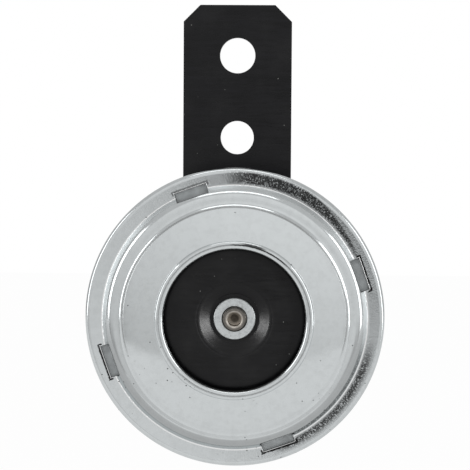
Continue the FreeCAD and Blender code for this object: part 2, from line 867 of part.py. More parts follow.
def terminal(side):
    """A bent blade terminal: foot under the rivet, bend, and the blade standing out backwards."""
    x = side * terminal_x
    half = blade_width / 2
    foot_top = -terminal_drop + foot_above_rivet
    blade_face = -terminal_drop - foot_below_rivet
    tip = terminal_foot_front - blade_length
    foot = block((x - half, x + half), (terminal_foot_back, terminal_foot_front), (blade_face, foot_top))
    blade = block((x - half, x + half), (tip, terminal_foot_front), (blade_face, blade_face + blade_sheet))
    piece = foot.fuse(blade).removeSplitter()
    bend = [
        e for e in piece.Edges
        if abs(e.tangentAt(e.FirstParameter).x) > 0.99
        and abs(e.CenterOfMass.y + terminal_foot_front) < 1e-6
        and abs(e.CenterOfMass.z + upper_hole_to_axis - blade_face) < 1e-6
    ]
    piece = piece.makeFillet(blade_bend, bend)
    corners = [
        e for e in piece.Edges
        if abs(e.tangentAt(e.FirstParameter).z) > 0.99 and abs(e.CenterOfMass.y + tip) < 1e-6
    ]
    piece = piece.makeChamfer(blade_tip_cut, corners)
    detent = Part.makeCylinder(
        blade_hole_diameter / 2, 2 * blade_sheet,
        on_axis(x, tip + blade_hole_to_tip, blade_face - blade_sheet / 2), Vector(0, 0, 1),
    )
    rivet_hole = rod(terminal_rivet_diameter, x, -terminal_drop, terminal_foot_back, terminal_foot_front)
    return piece.cut(detent).cut(rivet_hole)


def terminal_tags():
    """Inner solder tags, one under each rivet."""
    tags = []
    for side in (-1, 1):
        x = side * terminal_x
        ends = sorted([x - side * tag_width / 2, side * tag_outer_x])
        heights = (-terminal_drop - tag_width / 2, -terminal_drop + tag_width / 2)
        tag = block(ends, (inner_insulator_front, tag_front), heights)
        hole = rod(terminal_rivet_diameter, x, -terminal_drop, inner_insulator_front, tag_front)
        tags.append(tag.cut(hole))
    return Part.makeCompound(tags)


def terminal_rivets():
    rivets = []
    for side in (-1, 1):
        x = side * terminal_x
        z = -terminal_drop
        shank = rod(terminal_rivet_diameter, x, z, terminal_foot_back, tag_front)
        back = terminal_foot_back - terminal_rivet_head_height
        front = tag_front + terminal_rivet_head_height
        heads = [
            rod(terminal_rivet_head_diameter, x, z, back, terminal_foot_back),
            rod(terminal_rivet_head_diameter, x, z, tag_front, front),
        ]
        rivets.append(shank.fuse(heads).removeSplitter())
    return Part.makeCompound(rivets)


def part_way(start, end, x_share, ahead_share, z_share):
    """A point of a wire's route, by its share of the way from start to end along each direction."""
    shares = (x_share, ahead_share, z_share)
    return tuple(a + (b - a) * share for a, b, share in zip(start, end, shares))


def coil_lead():
    """From the winding to the tag of the left terminal, bowed outwards."""
    start = (-lead_start, tag_wire + lead_above_tag, -lead_start)
    end = (-tag_wire_x, tag_wire, -terminal_drop - solder_below_rivet)
    bowed_start = (start[0] - coil_lead_bow, *start[1:])
    return wire_along([
        start, part_way(bowed_start, end, 0, 0.08, 0.35), part_way(bowed_start, end, 0.9, 0.8, 0.62), end
    ])


def breaker_lead():
    """From the winding to the tail of the moving contact arm, bowed upwards."""
    start = (lead_start, tag_wire + lead_above_tag, lead_start)
    end = (arm_tail_x, moving_arm_front + wire_lift, arm_tail_z - solder_to_tail_end)
    bowed_end = (*end[:2], start[2] + breaker_lead_bow)
    return wire_along([
        start, part_way(start, bowed_end, 0.27, 0.2, 0.58), part_way(start, bowed_end, 0.6, 0.89, 0.34),
        part_way(start, end, 0.88, 1.11, 0.32), end
    ])


def terminal_lead():
    """From the tail of the fixed contact arm to the tag of the right terminal."""
    start = (arm_tail_x, fixed_arm_front + wire_lift, solder_to_tail_end - arm_tail_z)
    end = (tag_wire_x, tag_wire, -terminal_drop)
    return wire_along([
        start, part_way(start, end, 0.01, -0.04, 0.36), part_way(start, end, 0.14, 0.37, 0.6),
        part_way(start, end, 0.47, 0.78, 0.855), end
    ])


NODES = {
    "front_cover": front_cover,
    "front_gasket": lambda: ring(
        front_gasket_inner_radius, flange_radius, diaphragm_front, cover_flange_back
    ),
    "rear_gasket": lambda: ring(rear_gasket_inner_radius, flange_radius, flange_front, diaphragm_back),
    "housing": housing,
    "diaphragm": diaphragm,
    "tone_disc": tone_disc,
    "tone_disc_spacer": tone_disc_spacer,
    "centre_washer": centre_washer,
    "armature": armature,
    "pole_core": pole_core,
    "coil_bobbin": coil_bobbin,
    "coil_winding": coil_winding,
    "contact_base": contact_base,
    "lower_contact_insulator": lambda: stack_plate(shelf_front, moving_arm_back),
    "moving_contact_arm": moving_contact_arm,
    "moving_contact_point": lambda: contact_point(
        moving_arm_front, (moving_arm_front + fixed_arm_back) / 2
    ),
    "middle_contact_insulator": lambda: stack_plate(moving_arm_front, fixed_arm_back),
    "fixed_contact_arm": fixed_contact_arm,
    "fixed_contact_point": lambda: contact_point((moving_arm_front + fixed_arm_back) / 2, fixed_arm_back),
    "upper_contact_insulator": lambda: stack_plate(fixed_arm_front, stack_front),
    "contact_rivets": contact_rivets,
    "adjuster_bush": adjuster_bush,
    "adjusting_screw": adjusting_screw,
    "adjuster_lock_nut": adjuster_lock_nut,
    "terminal_insulator": terminal_insulator,
    "inner_terminal_insulator": inner_terminal_insulator,
    "left_terminal": lambda: terminal(-1),
    "right_terminal": lambda: terminal(1),
    "terminal_tags": terminal_tags,
    "terminal_rivets": terminal_rivets,
    "coil_lead": coil_lead,
    "breaker_lead": breaker_lead,
    "terminal_lead": terminal_lead,
    "mounting_bracket": mounting_bracket,
    "spring_washer": spring_washer,
    "bracket_nut": bracket_nut,
}


def main():
    os.makedirs("parts", exist_ok=True)
    for name, make in NODES.items():
        shape = make()
        good = shape.isValid() and all(solid.Volume > 0 for solid in shape.Solids) and shape.Solids
        print(f"{name}: {len(shape.Solids)} solid, {shape.Volume:.1f} mm3, valid {bool(good)}")
        shape.exportStep(f"parts/{name}.step")


main()
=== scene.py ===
"""Looks of the disc horn: chrome, black paint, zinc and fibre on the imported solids, in a pale studio.

Metres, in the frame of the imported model: +Y backwards, +Z up, the origin in the bracket's upper hole.
A pair of values named for a mark or a zone says where it begins and where it ends, unless noted.
"""
import math
import bpy
from mathutils import Matrix, Vector


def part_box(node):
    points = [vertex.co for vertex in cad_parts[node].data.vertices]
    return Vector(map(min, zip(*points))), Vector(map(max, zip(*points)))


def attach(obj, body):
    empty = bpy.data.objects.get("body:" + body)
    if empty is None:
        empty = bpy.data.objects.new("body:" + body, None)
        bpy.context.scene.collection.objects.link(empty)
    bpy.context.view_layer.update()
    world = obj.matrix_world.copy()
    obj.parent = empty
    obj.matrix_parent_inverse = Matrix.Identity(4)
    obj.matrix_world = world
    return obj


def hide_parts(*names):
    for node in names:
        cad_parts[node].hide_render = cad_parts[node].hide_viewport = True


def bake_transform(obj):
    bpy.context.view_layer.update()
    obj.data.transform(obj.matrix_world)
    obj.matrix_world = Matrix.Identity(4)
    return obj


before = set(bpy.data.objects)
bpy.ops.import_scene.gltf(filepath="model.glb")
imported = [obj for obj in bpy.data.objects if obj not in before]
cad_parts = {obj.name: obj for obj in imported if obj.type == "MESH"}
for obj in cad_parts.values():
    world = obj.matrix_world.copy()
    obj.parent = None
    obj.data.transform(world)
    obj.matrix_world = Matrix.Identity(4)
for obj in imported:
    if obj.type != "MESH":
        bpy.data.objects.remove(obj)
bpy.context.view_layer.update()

MM = 0.001

# The horn's own axis runs along Y, through the middle of its cover
cover_low, cover_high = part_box("front_cover")
axis_z = (cover_low.z + cover_high.z) / 2
cover_radius = (cover_high.x - cover_low.x) / 2
rim_plane_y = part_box("housing")[0].y

# The cover's four slots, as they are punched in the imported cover
first_slot_angle = math.radians(19.4)
slot_step = math.pi / 2
slot_half_length = 3.8 * MM
slot_half_width = 1.05 * MM
slot_middle_radius = cover_radius - 4.2 * MM

# Camera, found from the rim, the mouth, the washer and the two bracket holes in the photograph
camera_distance = 450 * MM
camera_pitch = math.radians(3.568)
camera_yaw = math.radians(1.17)
camera_roll = math.radians(0.338)
focal_pixels = 1928.0
photo_pixels = 470
sensor_width = 36.0
nearest_seen = 10 * MM
aim_right = -0.06 * MM
aim_above_axis = 19.29 * MM
aim_ahead = 18 * MM


def add_camera():
    """The photograph's camera: slightly above the horn and to its right, looking down on it."""
    forward = Vector((
        -math.sin(camera_yaw) * math.cos(camera_pitch),
        math.cos(camera_yaw) * math.cos(camera_pitch),
        -math.sin(camera_pitch),
    ))
    camera = bpy.data.objects.new("camera", bpy.data.cameras.new("camera"))
    camera.data.sensor_width = sensor_width
    camera.data.lens = sensor_width * focal_pixels / photo_pixels
    camera.data.clip_start = nearest_seen
    aim = Vector((aim_right, -aim_ahead, axis_z + aim_above_axis))
    camera.location = aim - forward * camera_distance
    level = forward.to_track_quat("-Z", "Y").to_matrix()
    camera.rotation_euler = (level @ Matrix.Rotation(camera_roll, 3, "Z")).to_euler()
    bpy.context.collection.objects.link(camera)
    bpy.context.scene.camera = camera


class Nodes:
    """A node tree under construction, with short calls for the nodes that materials and world share."""

    def __init__(self, tree):
        self.tree = tree

    def feed(self, node, socket, value):
        """Links the value to the socket if it comes from a node, and writes it there otherwise."""
        if isinstance(value, bpy.types.NodeSocket):
            self.tree.links.new(value, node.inputs[socket])
        else:
            node.inputs[socket].default_value = value

    def math(self, operation, first, second=0.0, third=0.0):
        node = self.tree.nodes.new("ShaderNodeMath")
        node.operation = operation
        for socket, value in enumerate((first, second, third)):
            self.feed(node, socket, value)
        return node.outputs[0]

    def product(self, first, *others):
        for other in others:
            first = self.math("MULTIPLY", first, other)
        return first

    def most(self, first, *others):
        for other in others:
            first = self.math("MAXIMUM", first, other)
        return first

    def ramp(self, value, low, high, low_result=0.0, high_result=1.0):
        """Runs smoothly from one result to the other while the value goes from low to high."""
        node = self.tree.nodes.new("ShaderNodeMapRange")
        node.interpolation_type = "SMOOTHSTEP"
        for socket, given in (
            ("Value", value), ("From Min", low), ("From Max", high),
            ("To Min", low_result), ("To Max", high_result),
        ):
            self.feed(node, socket, given)
        return node.outputs["Result"]

    def choose(self, share, first, second):
        """The first number where the share is 0, and the second where it is 1."""
        node = self.tree.nodes.new("ShaderNodeMix")
        for socket, value in (("Factor", share), ("A", first), ("B", second)):
            self.feed(node, socket, value)
        return node.outputs["Result"]

    def coordinates(self, kind):
        return self.tree.nodes.new("ShaderNodeTexCoord").outputs[kind]

    def split(self, place):
        """The X, Y and Z of a place or direction, by name."""
        node = self.tree.nodes.new("ShaderNodeSeparateXYZ")
        self.feed(node, 0, place)
        return node.outputs

    def any_ray(self, *kinds):
        """1 for any of the given kinds of ray."""
        path = self.tree.nodes.new("ShaderNodeLightPath")
        return self.most(*(path.outputs[kind] for kind in kinds))


# Share of a speck's radius that is fully inside, before its soft edge
speck_core = 0.6
bevel_samples = 4


class Surface(Nodes):
    """A material and its node tree."""

    def __init__(self, name, colour, roughness, metallic=0.0, specular=0.5):
        self.name = name
        self.material = bpy.data.materials.new(name)
        self.material.use_nodes = True
        super().__init__(self.material.node_tree)
        self.shader = self.tree.nodes["Principled BSDF"]
        self.shader.inputs["Base Color"].default_value = (*colour, 1)
        self.shader.inputs["Roughness"].default_value = roughness
        self.shader.inputs["Metallic"].default_value = metallic
        self.shader.inputs["Specular IOR Level"].default_value = specular
        self.place = self.coordinates("Object")

    def noise(self, scale, detail=2.0, roughness=0.5, place=None):
        node = self.tree.nodes.new("ShaderNodeTexNoise")
        self.feed(node, "Vector", place or self.place)
        for socket, value in (("Scale", scale), ("Detail", detail), ("Roughness", roughness)):
            self.feed(node, socket, value)
        return node.outputs["Fac"]

    def specks(self, spacing, size, share):
        """1 inside scattered round specks, and 0 between them."""
        node = self.tree.nodes.new("ShaderNodeTexVoronoi")
        self.feed(node, "Vector", self.place)
        self.feed(node, "Scale", 1 / spacing)
        near = self.ramp(node.outputs["Distance"], speck_core * size / spacing, size / spacing, 1, 0)
        picked = self.tree.nodes.new("ShaderNodeSeparateColor")
        self.feed(picked, "Color", node.outputs["Color"])
        return self.product(near, self.math("LESS_THAN", picked.outputs[0], share))

    def combine(self, x, y, z):
        node = self.tree.nodes.new("ShaderNodeCombineXYZ")
        for socket, value in enumerate((x, y, z)):
            self.feed(node, socket, value)
        return node.outputs[0]

    def height_above_axis(self):
        return self.math("SUBTRACT", self.split(self.place)["Z"], axis_z)

    def polar(self, from_x=0.0):
        """Distance from the horn's axis, or from one beside it, and the angle round that axis."""
        up = self.height_above_axis()
        across = self.math("SUBTRACT", self.split(self.place)["X"], from_x)
        squared = self.math("ADD", self.product(across, across), self.product(up, up))
        return self.math("SQRT", squared), self.math("ARCTAN2", up, across)

    def place_round_rim(self, radial_share):
        """A place at the rim, at the same angle, in which the distance from the axis counts for a share."""
        radius, angle = self.polar()
        return self.combine(
            self.product(self.math("COSINE", angle), cover_radius),
            self.product(self.math("SINE", angle), cover_radius),
            self.product(radius, radial_share),
        )

    def band(self, value, low, high, soft):
        """1 between low and high, with soft edges."""
        rises = self.ramp(value, low - soft, low + soft)
        falls = self.ramp(value, high - soft, high + soft, 1, 0)
        return self.product(rises, falls)

    def from_slot(self):
        """Distance from the outline of the nearest slot, and the height above that slot's middle line."""
        radius, angle = self.polar()
        turned = self.math("SUBTRACT", angle, first_slot_angle)
        turned = self.math("WRAP", turned, slot_step / 2, -slot_step / 2)
        along = self.product(radius, self.math("SINE", turned))
        outwards = self.product(radius, self.math("COSINE", turned))
        outwards = self.math("SUBTRACT", outwards, slot_middle_radius)
        past_end = self.math("SUBTRACT", self.math("ABSOLUTE", along), slot_half_length)
        past_side = self.math("SUBTRACT", self.math("ABSOLUTE", outwards), slot_half_width)
        return self.most(past_end, past_side), outwards

    def mix(self, share, first, second):
        """The first colour where the share is 0, and the second where it is 1."""
        node = self.tree.nodes.new("ShaderNodeMix")
        node.data_type = "RGBA"
        self.feed(node, "Factor", share)
        for socket, value in ((6, first), (7, second)):
            given = (*value, 1) if isinstance(value, tuple) else value
            self.feed(node, socket, given)
        return node.outputs[2]

    def colour(self, value):
        self.feed(self.shader, "Base Color", value)

    def roughness(self, value):
        self.feed(self.shader, "Roughness", value)

    def bump(self, *layers, edge=0.0):
        """Adds relief from (height, depth in metres) layers over edges rounded by the given radius."""
        below = None
        if edge:
            rounded = self.tree.nodes.new("ShaderNodeBevel")
            rounded.samples = bevel_samples
            rounded.inputs["Radius"].default_value = edge
            below = rounded.outputs["Normal"]
        for height, depth in layers:
            node = self.tree.nodes.new("ShaderNodeBump")
            node.inputs["Distance"].default_value = depth
            self.feed(node, "Height", height)
            if below:
                self.feed(node, "Normal", below)
            below = node.outputs["Normal"]
        self.feed(self.shader, "Normal", below)


def scaled(colour, factor):
    """The colour made darker or brighter, with no channel above 1."""
    return tuple(min(1.0, factor * channel) for channel in colour)


# Chrome: its colour, and those of its marks
chrome_colour = (0.613, 0.641, 0.648)
chrome_roughness = 0.08
cloud_colour = scaled(chrome_colour, 0.98)
mottle_colour = (0.3, 0.3, 0.3)
# Painted shade, for the crease at the step and the drawn wall
painted_shade_colour = (0.12, 0.12, 0.12)
# Grime and painted shade in the slots' grooves, painted shadow on their cut edges, and painted shade at the
# bead's foot
grime_and_shade_colour = (0.02, 0.02, 0.02)
scuff_colour = (0.03, 0.03, 0.03)
pit_colour = (0.05, 0.05, 0.05)
# Painted highlights, on the wall's foot and on the slots' lip crests
highlight_colour = (0.92, 0.92, 0.92)

# Chrome: depths of its relief
wave_depth = 0.014 * MM
drawn_depth = 0.0015 * MM
peel_depth = 0.002 * MM
grain_depth = 0.018 * MM
pit_depth = 0.03 * MM
lip_depth = 0.15 * MM

# Chrome: how fine its textures are, as scales of noise, and between which values of it they show
grain_scale = 3300
drawn_scale = 420
wave_scale = 150
peel_scale = 900
mottle_scale = 600
gather_scale = 110
ragged_scale = 1800
grain_radially = 0.65  # share that the distance from the axis counts for: less makes longer streaks
drawn_radially = 0.12
clouded = (0.35, 0.75)
mottled = (0.42, 0.68)
gathered = (0.47, 0.62)
mottle_share = 0.1
plain_roughness = 0.1
drawn_roughness = 0.08
ragged_width = 0.5 * MM

# Where the cover's front gives way to its rolled edge, along Y, and its wall to the grained flange, as
# distances from the axis
front_ends_y = (rim_plane_y - 0.9 * MM, rim_plane_y - 0.3 * MM)
flange_begins = (cover_radius - 4.0 * MM, cover_radius - 3.2 * MM)
left_half_grain = 0.25  # share of the grain's relief on the flange's left half, which is smoother
halves_meet = 0.15  # on either side of the middle, as a share of the radius

# Marks round a slot, as distances past its outline: painted shadow on the cut edge, grime and painted shade
# in the groove, and a painted highlight on the lip's crest. The lip and its groove are on its outer side
# alone
cut_edge_reach = (0.08 * MM, 0.16 * MM)
cut_edge_painted_shadow = 0.75
crest_reach = (0.14 * MM, 0.3 * MM)
lip_reach = (0.15 * MM, 0.45 * MM)
groove_reach = (0.32 * MM, 0.68 * MM)
outer_side_from = (slot_half_width - 0.6 * MM, slot_half_width - 0.2 * MM)
less_shade_above = (15 * MM, 25 * MM)  # the horn's axis
top_slot_shade = 0.6


def ragged_edge(surface):
    """A small shift to and fro, for the outlines of marks."""
    return surface.product(surface.math("SUBTRACT", surface.noise(ragged_scale), 0.5), ragged_width)


def slot_marks(surface):
    """Grime and painted shade in the groove and painted shadow on the cut edge of each slot, the painted
    highlight on its lip's crest, and the lip itself.
    """
    distance, outwards = surface.from_slot()
    ragged_distance = surface.math("ADD", distance, ragged_edge(surface))
    outer_side = surface.ramp(outwards, *outer_side_from)
    shade_by_height = surface.ramp(surface.height_above_axis(), *less_shade_above, 1, top_slot_shade)
    groove = surface.band(ragged_distance, *groove_reach, soft=0.06 * MM)
    cut_edge = surface.ramp(distance, *cut_edge_reach, cut_edge_painted_shadow, 0)
    # grime and painted shade in the groove, less on the top slot, and painted shadow on the cut edge
    grime_and_shade = surface.most(surface.product(groove, outer_side, shade_by_height), cut_edge)
    # painted highlight on the lip's crest
    crest = surface.product(surface.band(distance, *crest_reach, soft=0.04 * MM), outer_side)
    lip = surface.product(surface.ramp(distance, *reversed(lip_reach)), outer_side)
    return grime_and_shade, crest, lip


# Dark scuffs on the flange's right half, in a band above the axis and one below, and faintly between
upper_scuffs_height = (9 * MM, 19 * MM)
upper_scuffs_across = (-4 * MM, 3 * MM)
upper_margin_across = (17 * MM, 29 * MM)  # where the clean margin outside the upper band widens
upper_margin_width = (0.9 * MM, 2.7 * MM)
upper_margin_soft = 0.3 * MM
lower_scuffs_height = (-3 * MM, -12 * MM)
lower_scuffs_across = (8 * MM, 13 * MM)
lower_scuffs_fade = (cover_radius - 2.6 * MM, cover_radius - 1 * MM)
faint_scuffs_across = (-6 * MM, 14 * MM)
faint_scuffs_share = 0.08
scuffed_grain = (0.66, 0.5)  # height of the grain where scuffs begin, and where they are full


def flange_scuffs(surface, grain):
    """Scuffs of the rolling tool, which follow the flange's grain."""
    radius, angle = surface.polar()
    height = surface.height_above_axis()
    across = surface.product(radius, surface.math("COSINE", angle))
    margin = surface.ramp(across, *upper_margin_across, *upper_margin_width)
    into_margin = surface.math("SUBTRACT", surface.math("ADD", radius, margin), cover_radius)
    upper = surface.product(
        surface.ramp(height, *upper_scuffs_height),
        surface.ramp(across, *upper_scuffs_across),
        surface.ramp(into_margin, -upper_margin_soft, upper_margin_soft, 1, 0),
    )
    lower = surface.product(
        surface.ramp(height, *lower_scuffs_height),
        surface.ramp(across, *lower_scuffs_across),
        surface.ramp(radius, *lower_scuffs_fade, 1, 0),
    )
    faint = surface.ramp(across, *faint_scuffs_across, 0, faint_scuffs_share)
    return surface.product(surface.ramp(grain, *scuffed_grain), surface.most(upper, lower, faint))


# Rings that the press left rougher at the step's crease and the wall's foot, and painted shade on the crease
# and the drawn wall, as inner and outer radius, and the heights that bound where they show
step_crease = (cover_radius - 9.1 * MM, cover_radius - 8.75 * MM)
drawn_wall = (cover_radius - 6.65 * MM, cover_radius - 4.85 * MM)
wall_foot = (cover_radius - 4.9 * MM, cover_radius - 4.15 * MM)
below_axis_height = (2 * MM, -8 * MM)
above_axis_height = (-10 * MM, -4 * MM)
wall_painted_shade = 0.42
crease_painted_shade = 0.6
foot_roughness = 0.28
crease_roughness = 0.35


def rings_painted_shade_and_roughness(surface):
    """Painted shade on the crease at the step and on the drawn wall, and added roughness of the crease and of
    the wall's foot.
    """
    radius, _ = surface.polar()
    height = surface.height_above_axis()
    below_axis = surface.ramp(height, *below_axis_height)
    above_axis = surface.ramp(height, *above_axis_height)
    crease = surface.product(surface.band(radius, *step_crease, soft=0.1 * MM), above_axis)
    wall = surface.product(surface.band(radius, *drawn_wall, soft=0.25 * MM), below_axis)
    foot = surface.product(surface.band(radius, *wall_foot, soft=0.12 * MM), above_axis)
    shade = surface.most(surface.product(wall, wall_painted_shade), surface.product(crease, crease_painted_shade))
    rougher = surface.most(surface.product(foot, foot_roughness), surface.product(crease, crease_roughness))
    return shade, rougher


# Painted shade at the foot of the mouth's bead: a ring that is darker along a streak, and a band outside it
shade_ring = (cover_radius - 17.66 * MM, cover_radius - 17.34 * MM)
streak_angles = (math.radians(48), math.radians(93))
ring_shade = 0.35
streak_shade = 0.97
outer_shade_ring = (cover_radius - 17.45 * MM, cover_radius - 17.0 * MM)
outer_shade_angles = (math.radians(67), math.radians(84))
outer_shade = 0.9
bead_raggedness = 0.6


def bead_foot_painted_shade(surface):
    """Share of painted shade on the dome beside the mouth's bead."""
    radius, angle = surface.polar()
    ragged_radius = surface.math("ADD", radius, surface.product(ragged_edge(surface), bead_raggedness))
    darker = surface.ramp(surface.band(angle, *streak_angles, soft=0.1), 0, 1, ring_shade, streak_shade)
    ring = surface.product(surface.band(ragged_radius, *shade_ring, soft=0.08 * MM), darker)
    outer_band = surface.product(
        surface.band(ragged_radius, *outer_shade_ring, soft=0.1 * MM),
        surface.band(angle, *outer_shade_angles, soft=0.07),
        outer_shade,
    )
    return surface.most(ring, outer_band)


# A painted highlight: a bright ring at the wall's foot; and small pits, which gather in the lower half
highlight_line = (cover_radius - 4.05 * MM, cover_radius - 3.8 * MM)
highlight_share = 0.8
scuffed_share = 0.93
pits_height = (0, -18 * MM)
pits_share = (0.06, 0.8)  # at the upper and the lower of these heights
pit_spacing = 1.3 * MM
pit_size = 0.19 * MM


def chrome_plate():
    """Bright plated sheet: drawn smooth on the dome, grained by the rolling tool on its flange."""
    surface = Surface("chrome_plate", chrome_colour, chrome_roughness, metallic=1.0)
    radius, angle = surface.polar()
    in_front = surface.ramp(surface.split(surface.place)["Y"], *front_ends_y, 1, 0)
    on_flange = surface.product(surface.ramp(radius, *flange_begins), in_front)
    halves = surface.ramp(surface.math("COSINE", angle), -halves_meet, halves_meet, left_half_grain, 1)

    grain = surface.noise(grain_scale, roughness=0.6, place=surface.place_round_rim(grain_radially))
    drawn_place = surface.place_round_rim(drawn_radially)
    drawn = surface.noise(drawn_scale, detail=3, roughness=0.6, place=drawn_place)
    waves = surface.noise(wave_scale, detail=1)
    peel = surface.noise(peel_scale)
    mottles = surface.noise(mottle_scale, detail=4, roughness=0.7)
    groups = surface.ramp(surface.noise(gather_scale, detail=1), *gathered)
    pitted = surface.ramp(surface.height_above_axis(), *pits_height, *pits_share)
    pits = surface.specks(pit_spacing, pit_size, surface.product(pitted, groups))

    slot_grime_and_shade, crest, lip = slot_marks(surface)
    scuffs = surface.product(flange_scuffs(surface, grain), on_flange, scuffed_share)
    shade, rougher = rings_painted_shade_and_roughness(surface)
    painted_highlight = surface.product(surface.band(radius, *highlight_line, soft=0.08 * MM), in_front, highlight_share)

    colour = chrome_colour
    for share, mark in (
        (surface.ramp(drawn, *clouded), cloud_colour),
        (surface.ramp(mottles, *mottled, 0, mottle_share), mottle_colour),
        # painted shade on the step's crease and on the drawn wall
        (shade, painted_shade_colour),
        # painted shade at the foot of the mouth's bead
        (surface.product(bead_foot_painted_shade(surface), in_front), grime_and_shade_colour),
        # painted highlight ring at the wall's foot
        (painted_highlight, highlight_colour),
        (scuffs, scuff_colour),
        # painted highlight on each slot lip's crest
        (crest, highlight_colour),
        # grime and painted shade in the slots' grooves, and painted shadow on their cut edges
        (slot_grime_and_shade, grime_and_shade_colour),
        (pits, pit_colour),
    ):
        colour = surface.mix(share, colour, mark)
    surface.colour(colour)
    roughness = surface.math("ADD", surface.product(drawn, drawn_roughness), plain_roughness)
    surface.roughness(surface.math("ADD", roughness, rougher))
    surface.bump(
        (waves, wave_depth), (drawn, drawn_depth), (peel, peel_depth),
        (surface.product(grain, on_flange, halves), grain_depth),
        (pits, -pit_depth), (lip, lip_depth),
    )
    return surface


# Black paint: its streaks along X, a faint cloudy lift of its colour, settled dust, and its peel
streak_scale = 1300
streak_stretch = 0.12  # share that X counts for
streaked = (0.4, 0.8)
streak_brightening = 2
streak_roughened = (0.3, 0.7)
streak_roughness = 0.1
cloud_scale = 130
cloud_lifted = (0.4, 0.75)
cloud_lift = 0.006
paint_peel_scale = 1100
dust_colour = (0.2, 0.2, 0.19)
dust_spacing = 1.6 * MM
dust_size = 0.16 * MM
dust_depth = 0.02 * MM
paint_peel_depth = 0.006 * MM
painted_edge = 0.2 * MM


def black_paint(name, colour, roughness, specular, dust_share, worn_wall=None):
    """Black stoving paint with faint streaks along X, a fine peel and settled dust.

    A worn wall is given as (inner radius, outer radius, depth): paint that ran and flattened a ring's
    slope.
    """
    surface = Surface(name, colour, roughness, specular=specular)
    parts = surface.split(surface.place)
    stretched = surface.combine(surface.product(parts["X"], streak_stretch), parts["Y"], parts["Z"])
    streaks = surface.noise(streak_scale, detail=3, roughness=0.7, place=stretched)
    clouds = surface.noise(cloud_scale, detail=3, roughness=0.6)
    dust = surface.specks(dust_spacing, dust_size, dust_share)
    base = surface.mix(surface.ramp(streaks, *streaked), colour, scaled(colour, streak_brightening))
    lifted = tuple(channel + cloud_lift for channel in colour)
    base = surface.mix(surface.ramp(clouds, *cloud_lifted), base, lifted)
    surface.colour(surface.mix(dust, base, dust_colour))
    surface.roughness(surface.ramp(streaks, *streak_roughened, roughness, roughness + streak_roughness))
    layers = [(surface.noise(paint_peel_scale), paint_peel_depth), (dust, dust_depth)]
    if worn_wall:
        inner, outer, depth = worn_wall
        radius, _ = surface.polar()
        share = surface.math("DIVIDE", surface.math("SUBTRACT", outer, radius), outer - inner)
        share = surface.math("MINIMUM", surface.most(share, 0.0), 1.0)
        layers.append((share, depth))
    surface.bump(*layers, edge=painted_edge)
    return surface


# Turned metal: the fine rings of turning, and its film
ring_scale = 9000
ring_depth = 0.007 * MM
film_scale = 1500
film_depth = 0.004 * MM
film_dulled = (0.4, 0.75)
film_dulling = 0.7
film_roughened = (0.3, 0.7)
film_roughness = 0.15
turned_edge = 0.1 * MM

# A staked end: the burnished ring, from the hole's edge; the ring of painted shade in the gap round the
# shank, from the hole's edge and past the shank's; and how deep the painted shade in the hole begins, as
# shares of the hole's radius
burnished_ring = (-0.1 * MM, 0.25 * MM)
burnish = 1.3
dark_ring = (0.45 * MM, 0.2 * MM)
shade_in_hole = (0.5, 0.75)
hole_shade_share = 0.8
hole_shade_colour = (0.03, 0.028, 0.025)
shade_thins = (0.3, 0.6)  # heights of the turned rings over which it gets thinner
shade_thinned = (1, 0.7)

# A thread: how deep it is in pitches, how far painted shade reaches from its root in pitches, and how much
# colour it leaves there
thread_depth = 0.6
root_shade_reach = 0.2
root_shade_colour = 0.2
thread_side = (0.85, 1.05)  # in thread radii


def staked_end(surface, rings, base, colour, hole, end):
    """The shank's end: painted shade in the gap towards its rim and deep in its hole, and burnished round the
    hole.
    """
    radius, _ = surface.polar()
    burnished = surface.band(radius, hole + burnished_ring[0], hole + burnished_ring[1], soft=0.08 * MM)
    dark_end = surface.band(radius, hole + dark_ring[0], end + dark_ring[1], soft=0.12 * MM)
    deep = surface.ramp(radius, hole * shade_in_hole[0], hole * shade_in_hole[1], hole_shade_share, 0)
    # painted shade in the gap round the shank and deep in its hole
    hole_shade = surface.most(surface.product(dark_end, hole_shade_share), deep)
    hole_shade = surface.product(hole_shade, surface.ramp(rings, *shade_thins, *shade_thinned))
    base = surface.mix(hole_shade, base, hole_shade_colour)
    return surface.mix(burnished, base, scaled(colour, burnish))


def thread_grooves(surface, axis_x, thread_radius, pitch, begins):
    """The thread's height, from 0 at its root to a half at its crest, and the share of painted shade at its
    root.
    """
    radius, angle = surface.polar(from_x=axis_x)
    along_y = surface.split(surface.place)["Y"]
    turns = surface.math("DIVIDE", angle, -2 * math.pi)
    along = surface.math("ADD", surface.math("DIVIDE", along_y, pitch), turns)
    flank = surface.math("PINGPONG", along, 0.5)
    inner, outer = (share * thread_radius for share in thread_side)
    on_side = surface.band(radius, inner, outer, soft=0.02 * MM)
    on_side = surface.product(on_side, surface.math("GREATER_THAN", along_y, begins))
    root = surface.product(surface.ramp(flank, root_shade_reach, 0.0), on_side)
    return surface.product(flank, on_side), root


def turned_metal(name, colour, roughness, thread=None, shank=None):
    """Plated or bare metal with the fine rings of turning and a cloudy film.

    A thread is given as (x of its axis, radius, pitch, y where it begins), and a staked shank as
    (radius of its hole, radius of its end).
    """
    surface = Surface(name, colour, roughness, metallic=1.0)
    radius, _ = surface.polar()
    rings = surface.noise(1, place=surface.combine(surface.product(radius, ring_scale), 0, 0))
    film = surface.noise(film_scale, detail=4, roughness=0.65)
    base = surface.mix(surface.ramp(film, *film_dulled), colour, scaled(colour, film_dulling))
    layers = [(rings, ring_depth), (surface.noise(film_scale), film_depth)]
    if shank:
        base = staked_end(surface, rings, base, colour, *shank)
    if thread:
        grooves, root = thread_grooves(surface, *thread)
        # painted shade at the thread's root
        base = surface.mix(root, base, scaled(colour, root_shade_colour))
        pitch = thread[2]
        layers.append((grooves, 2 * thread_depth * pitch))
    surface.colour(base)
    surface.roughness(surface.ramp(film, *film_roughened, roughness, roughness + film_roughness))
    surface.bump(*layers, edge=turned_edge)
    return surface


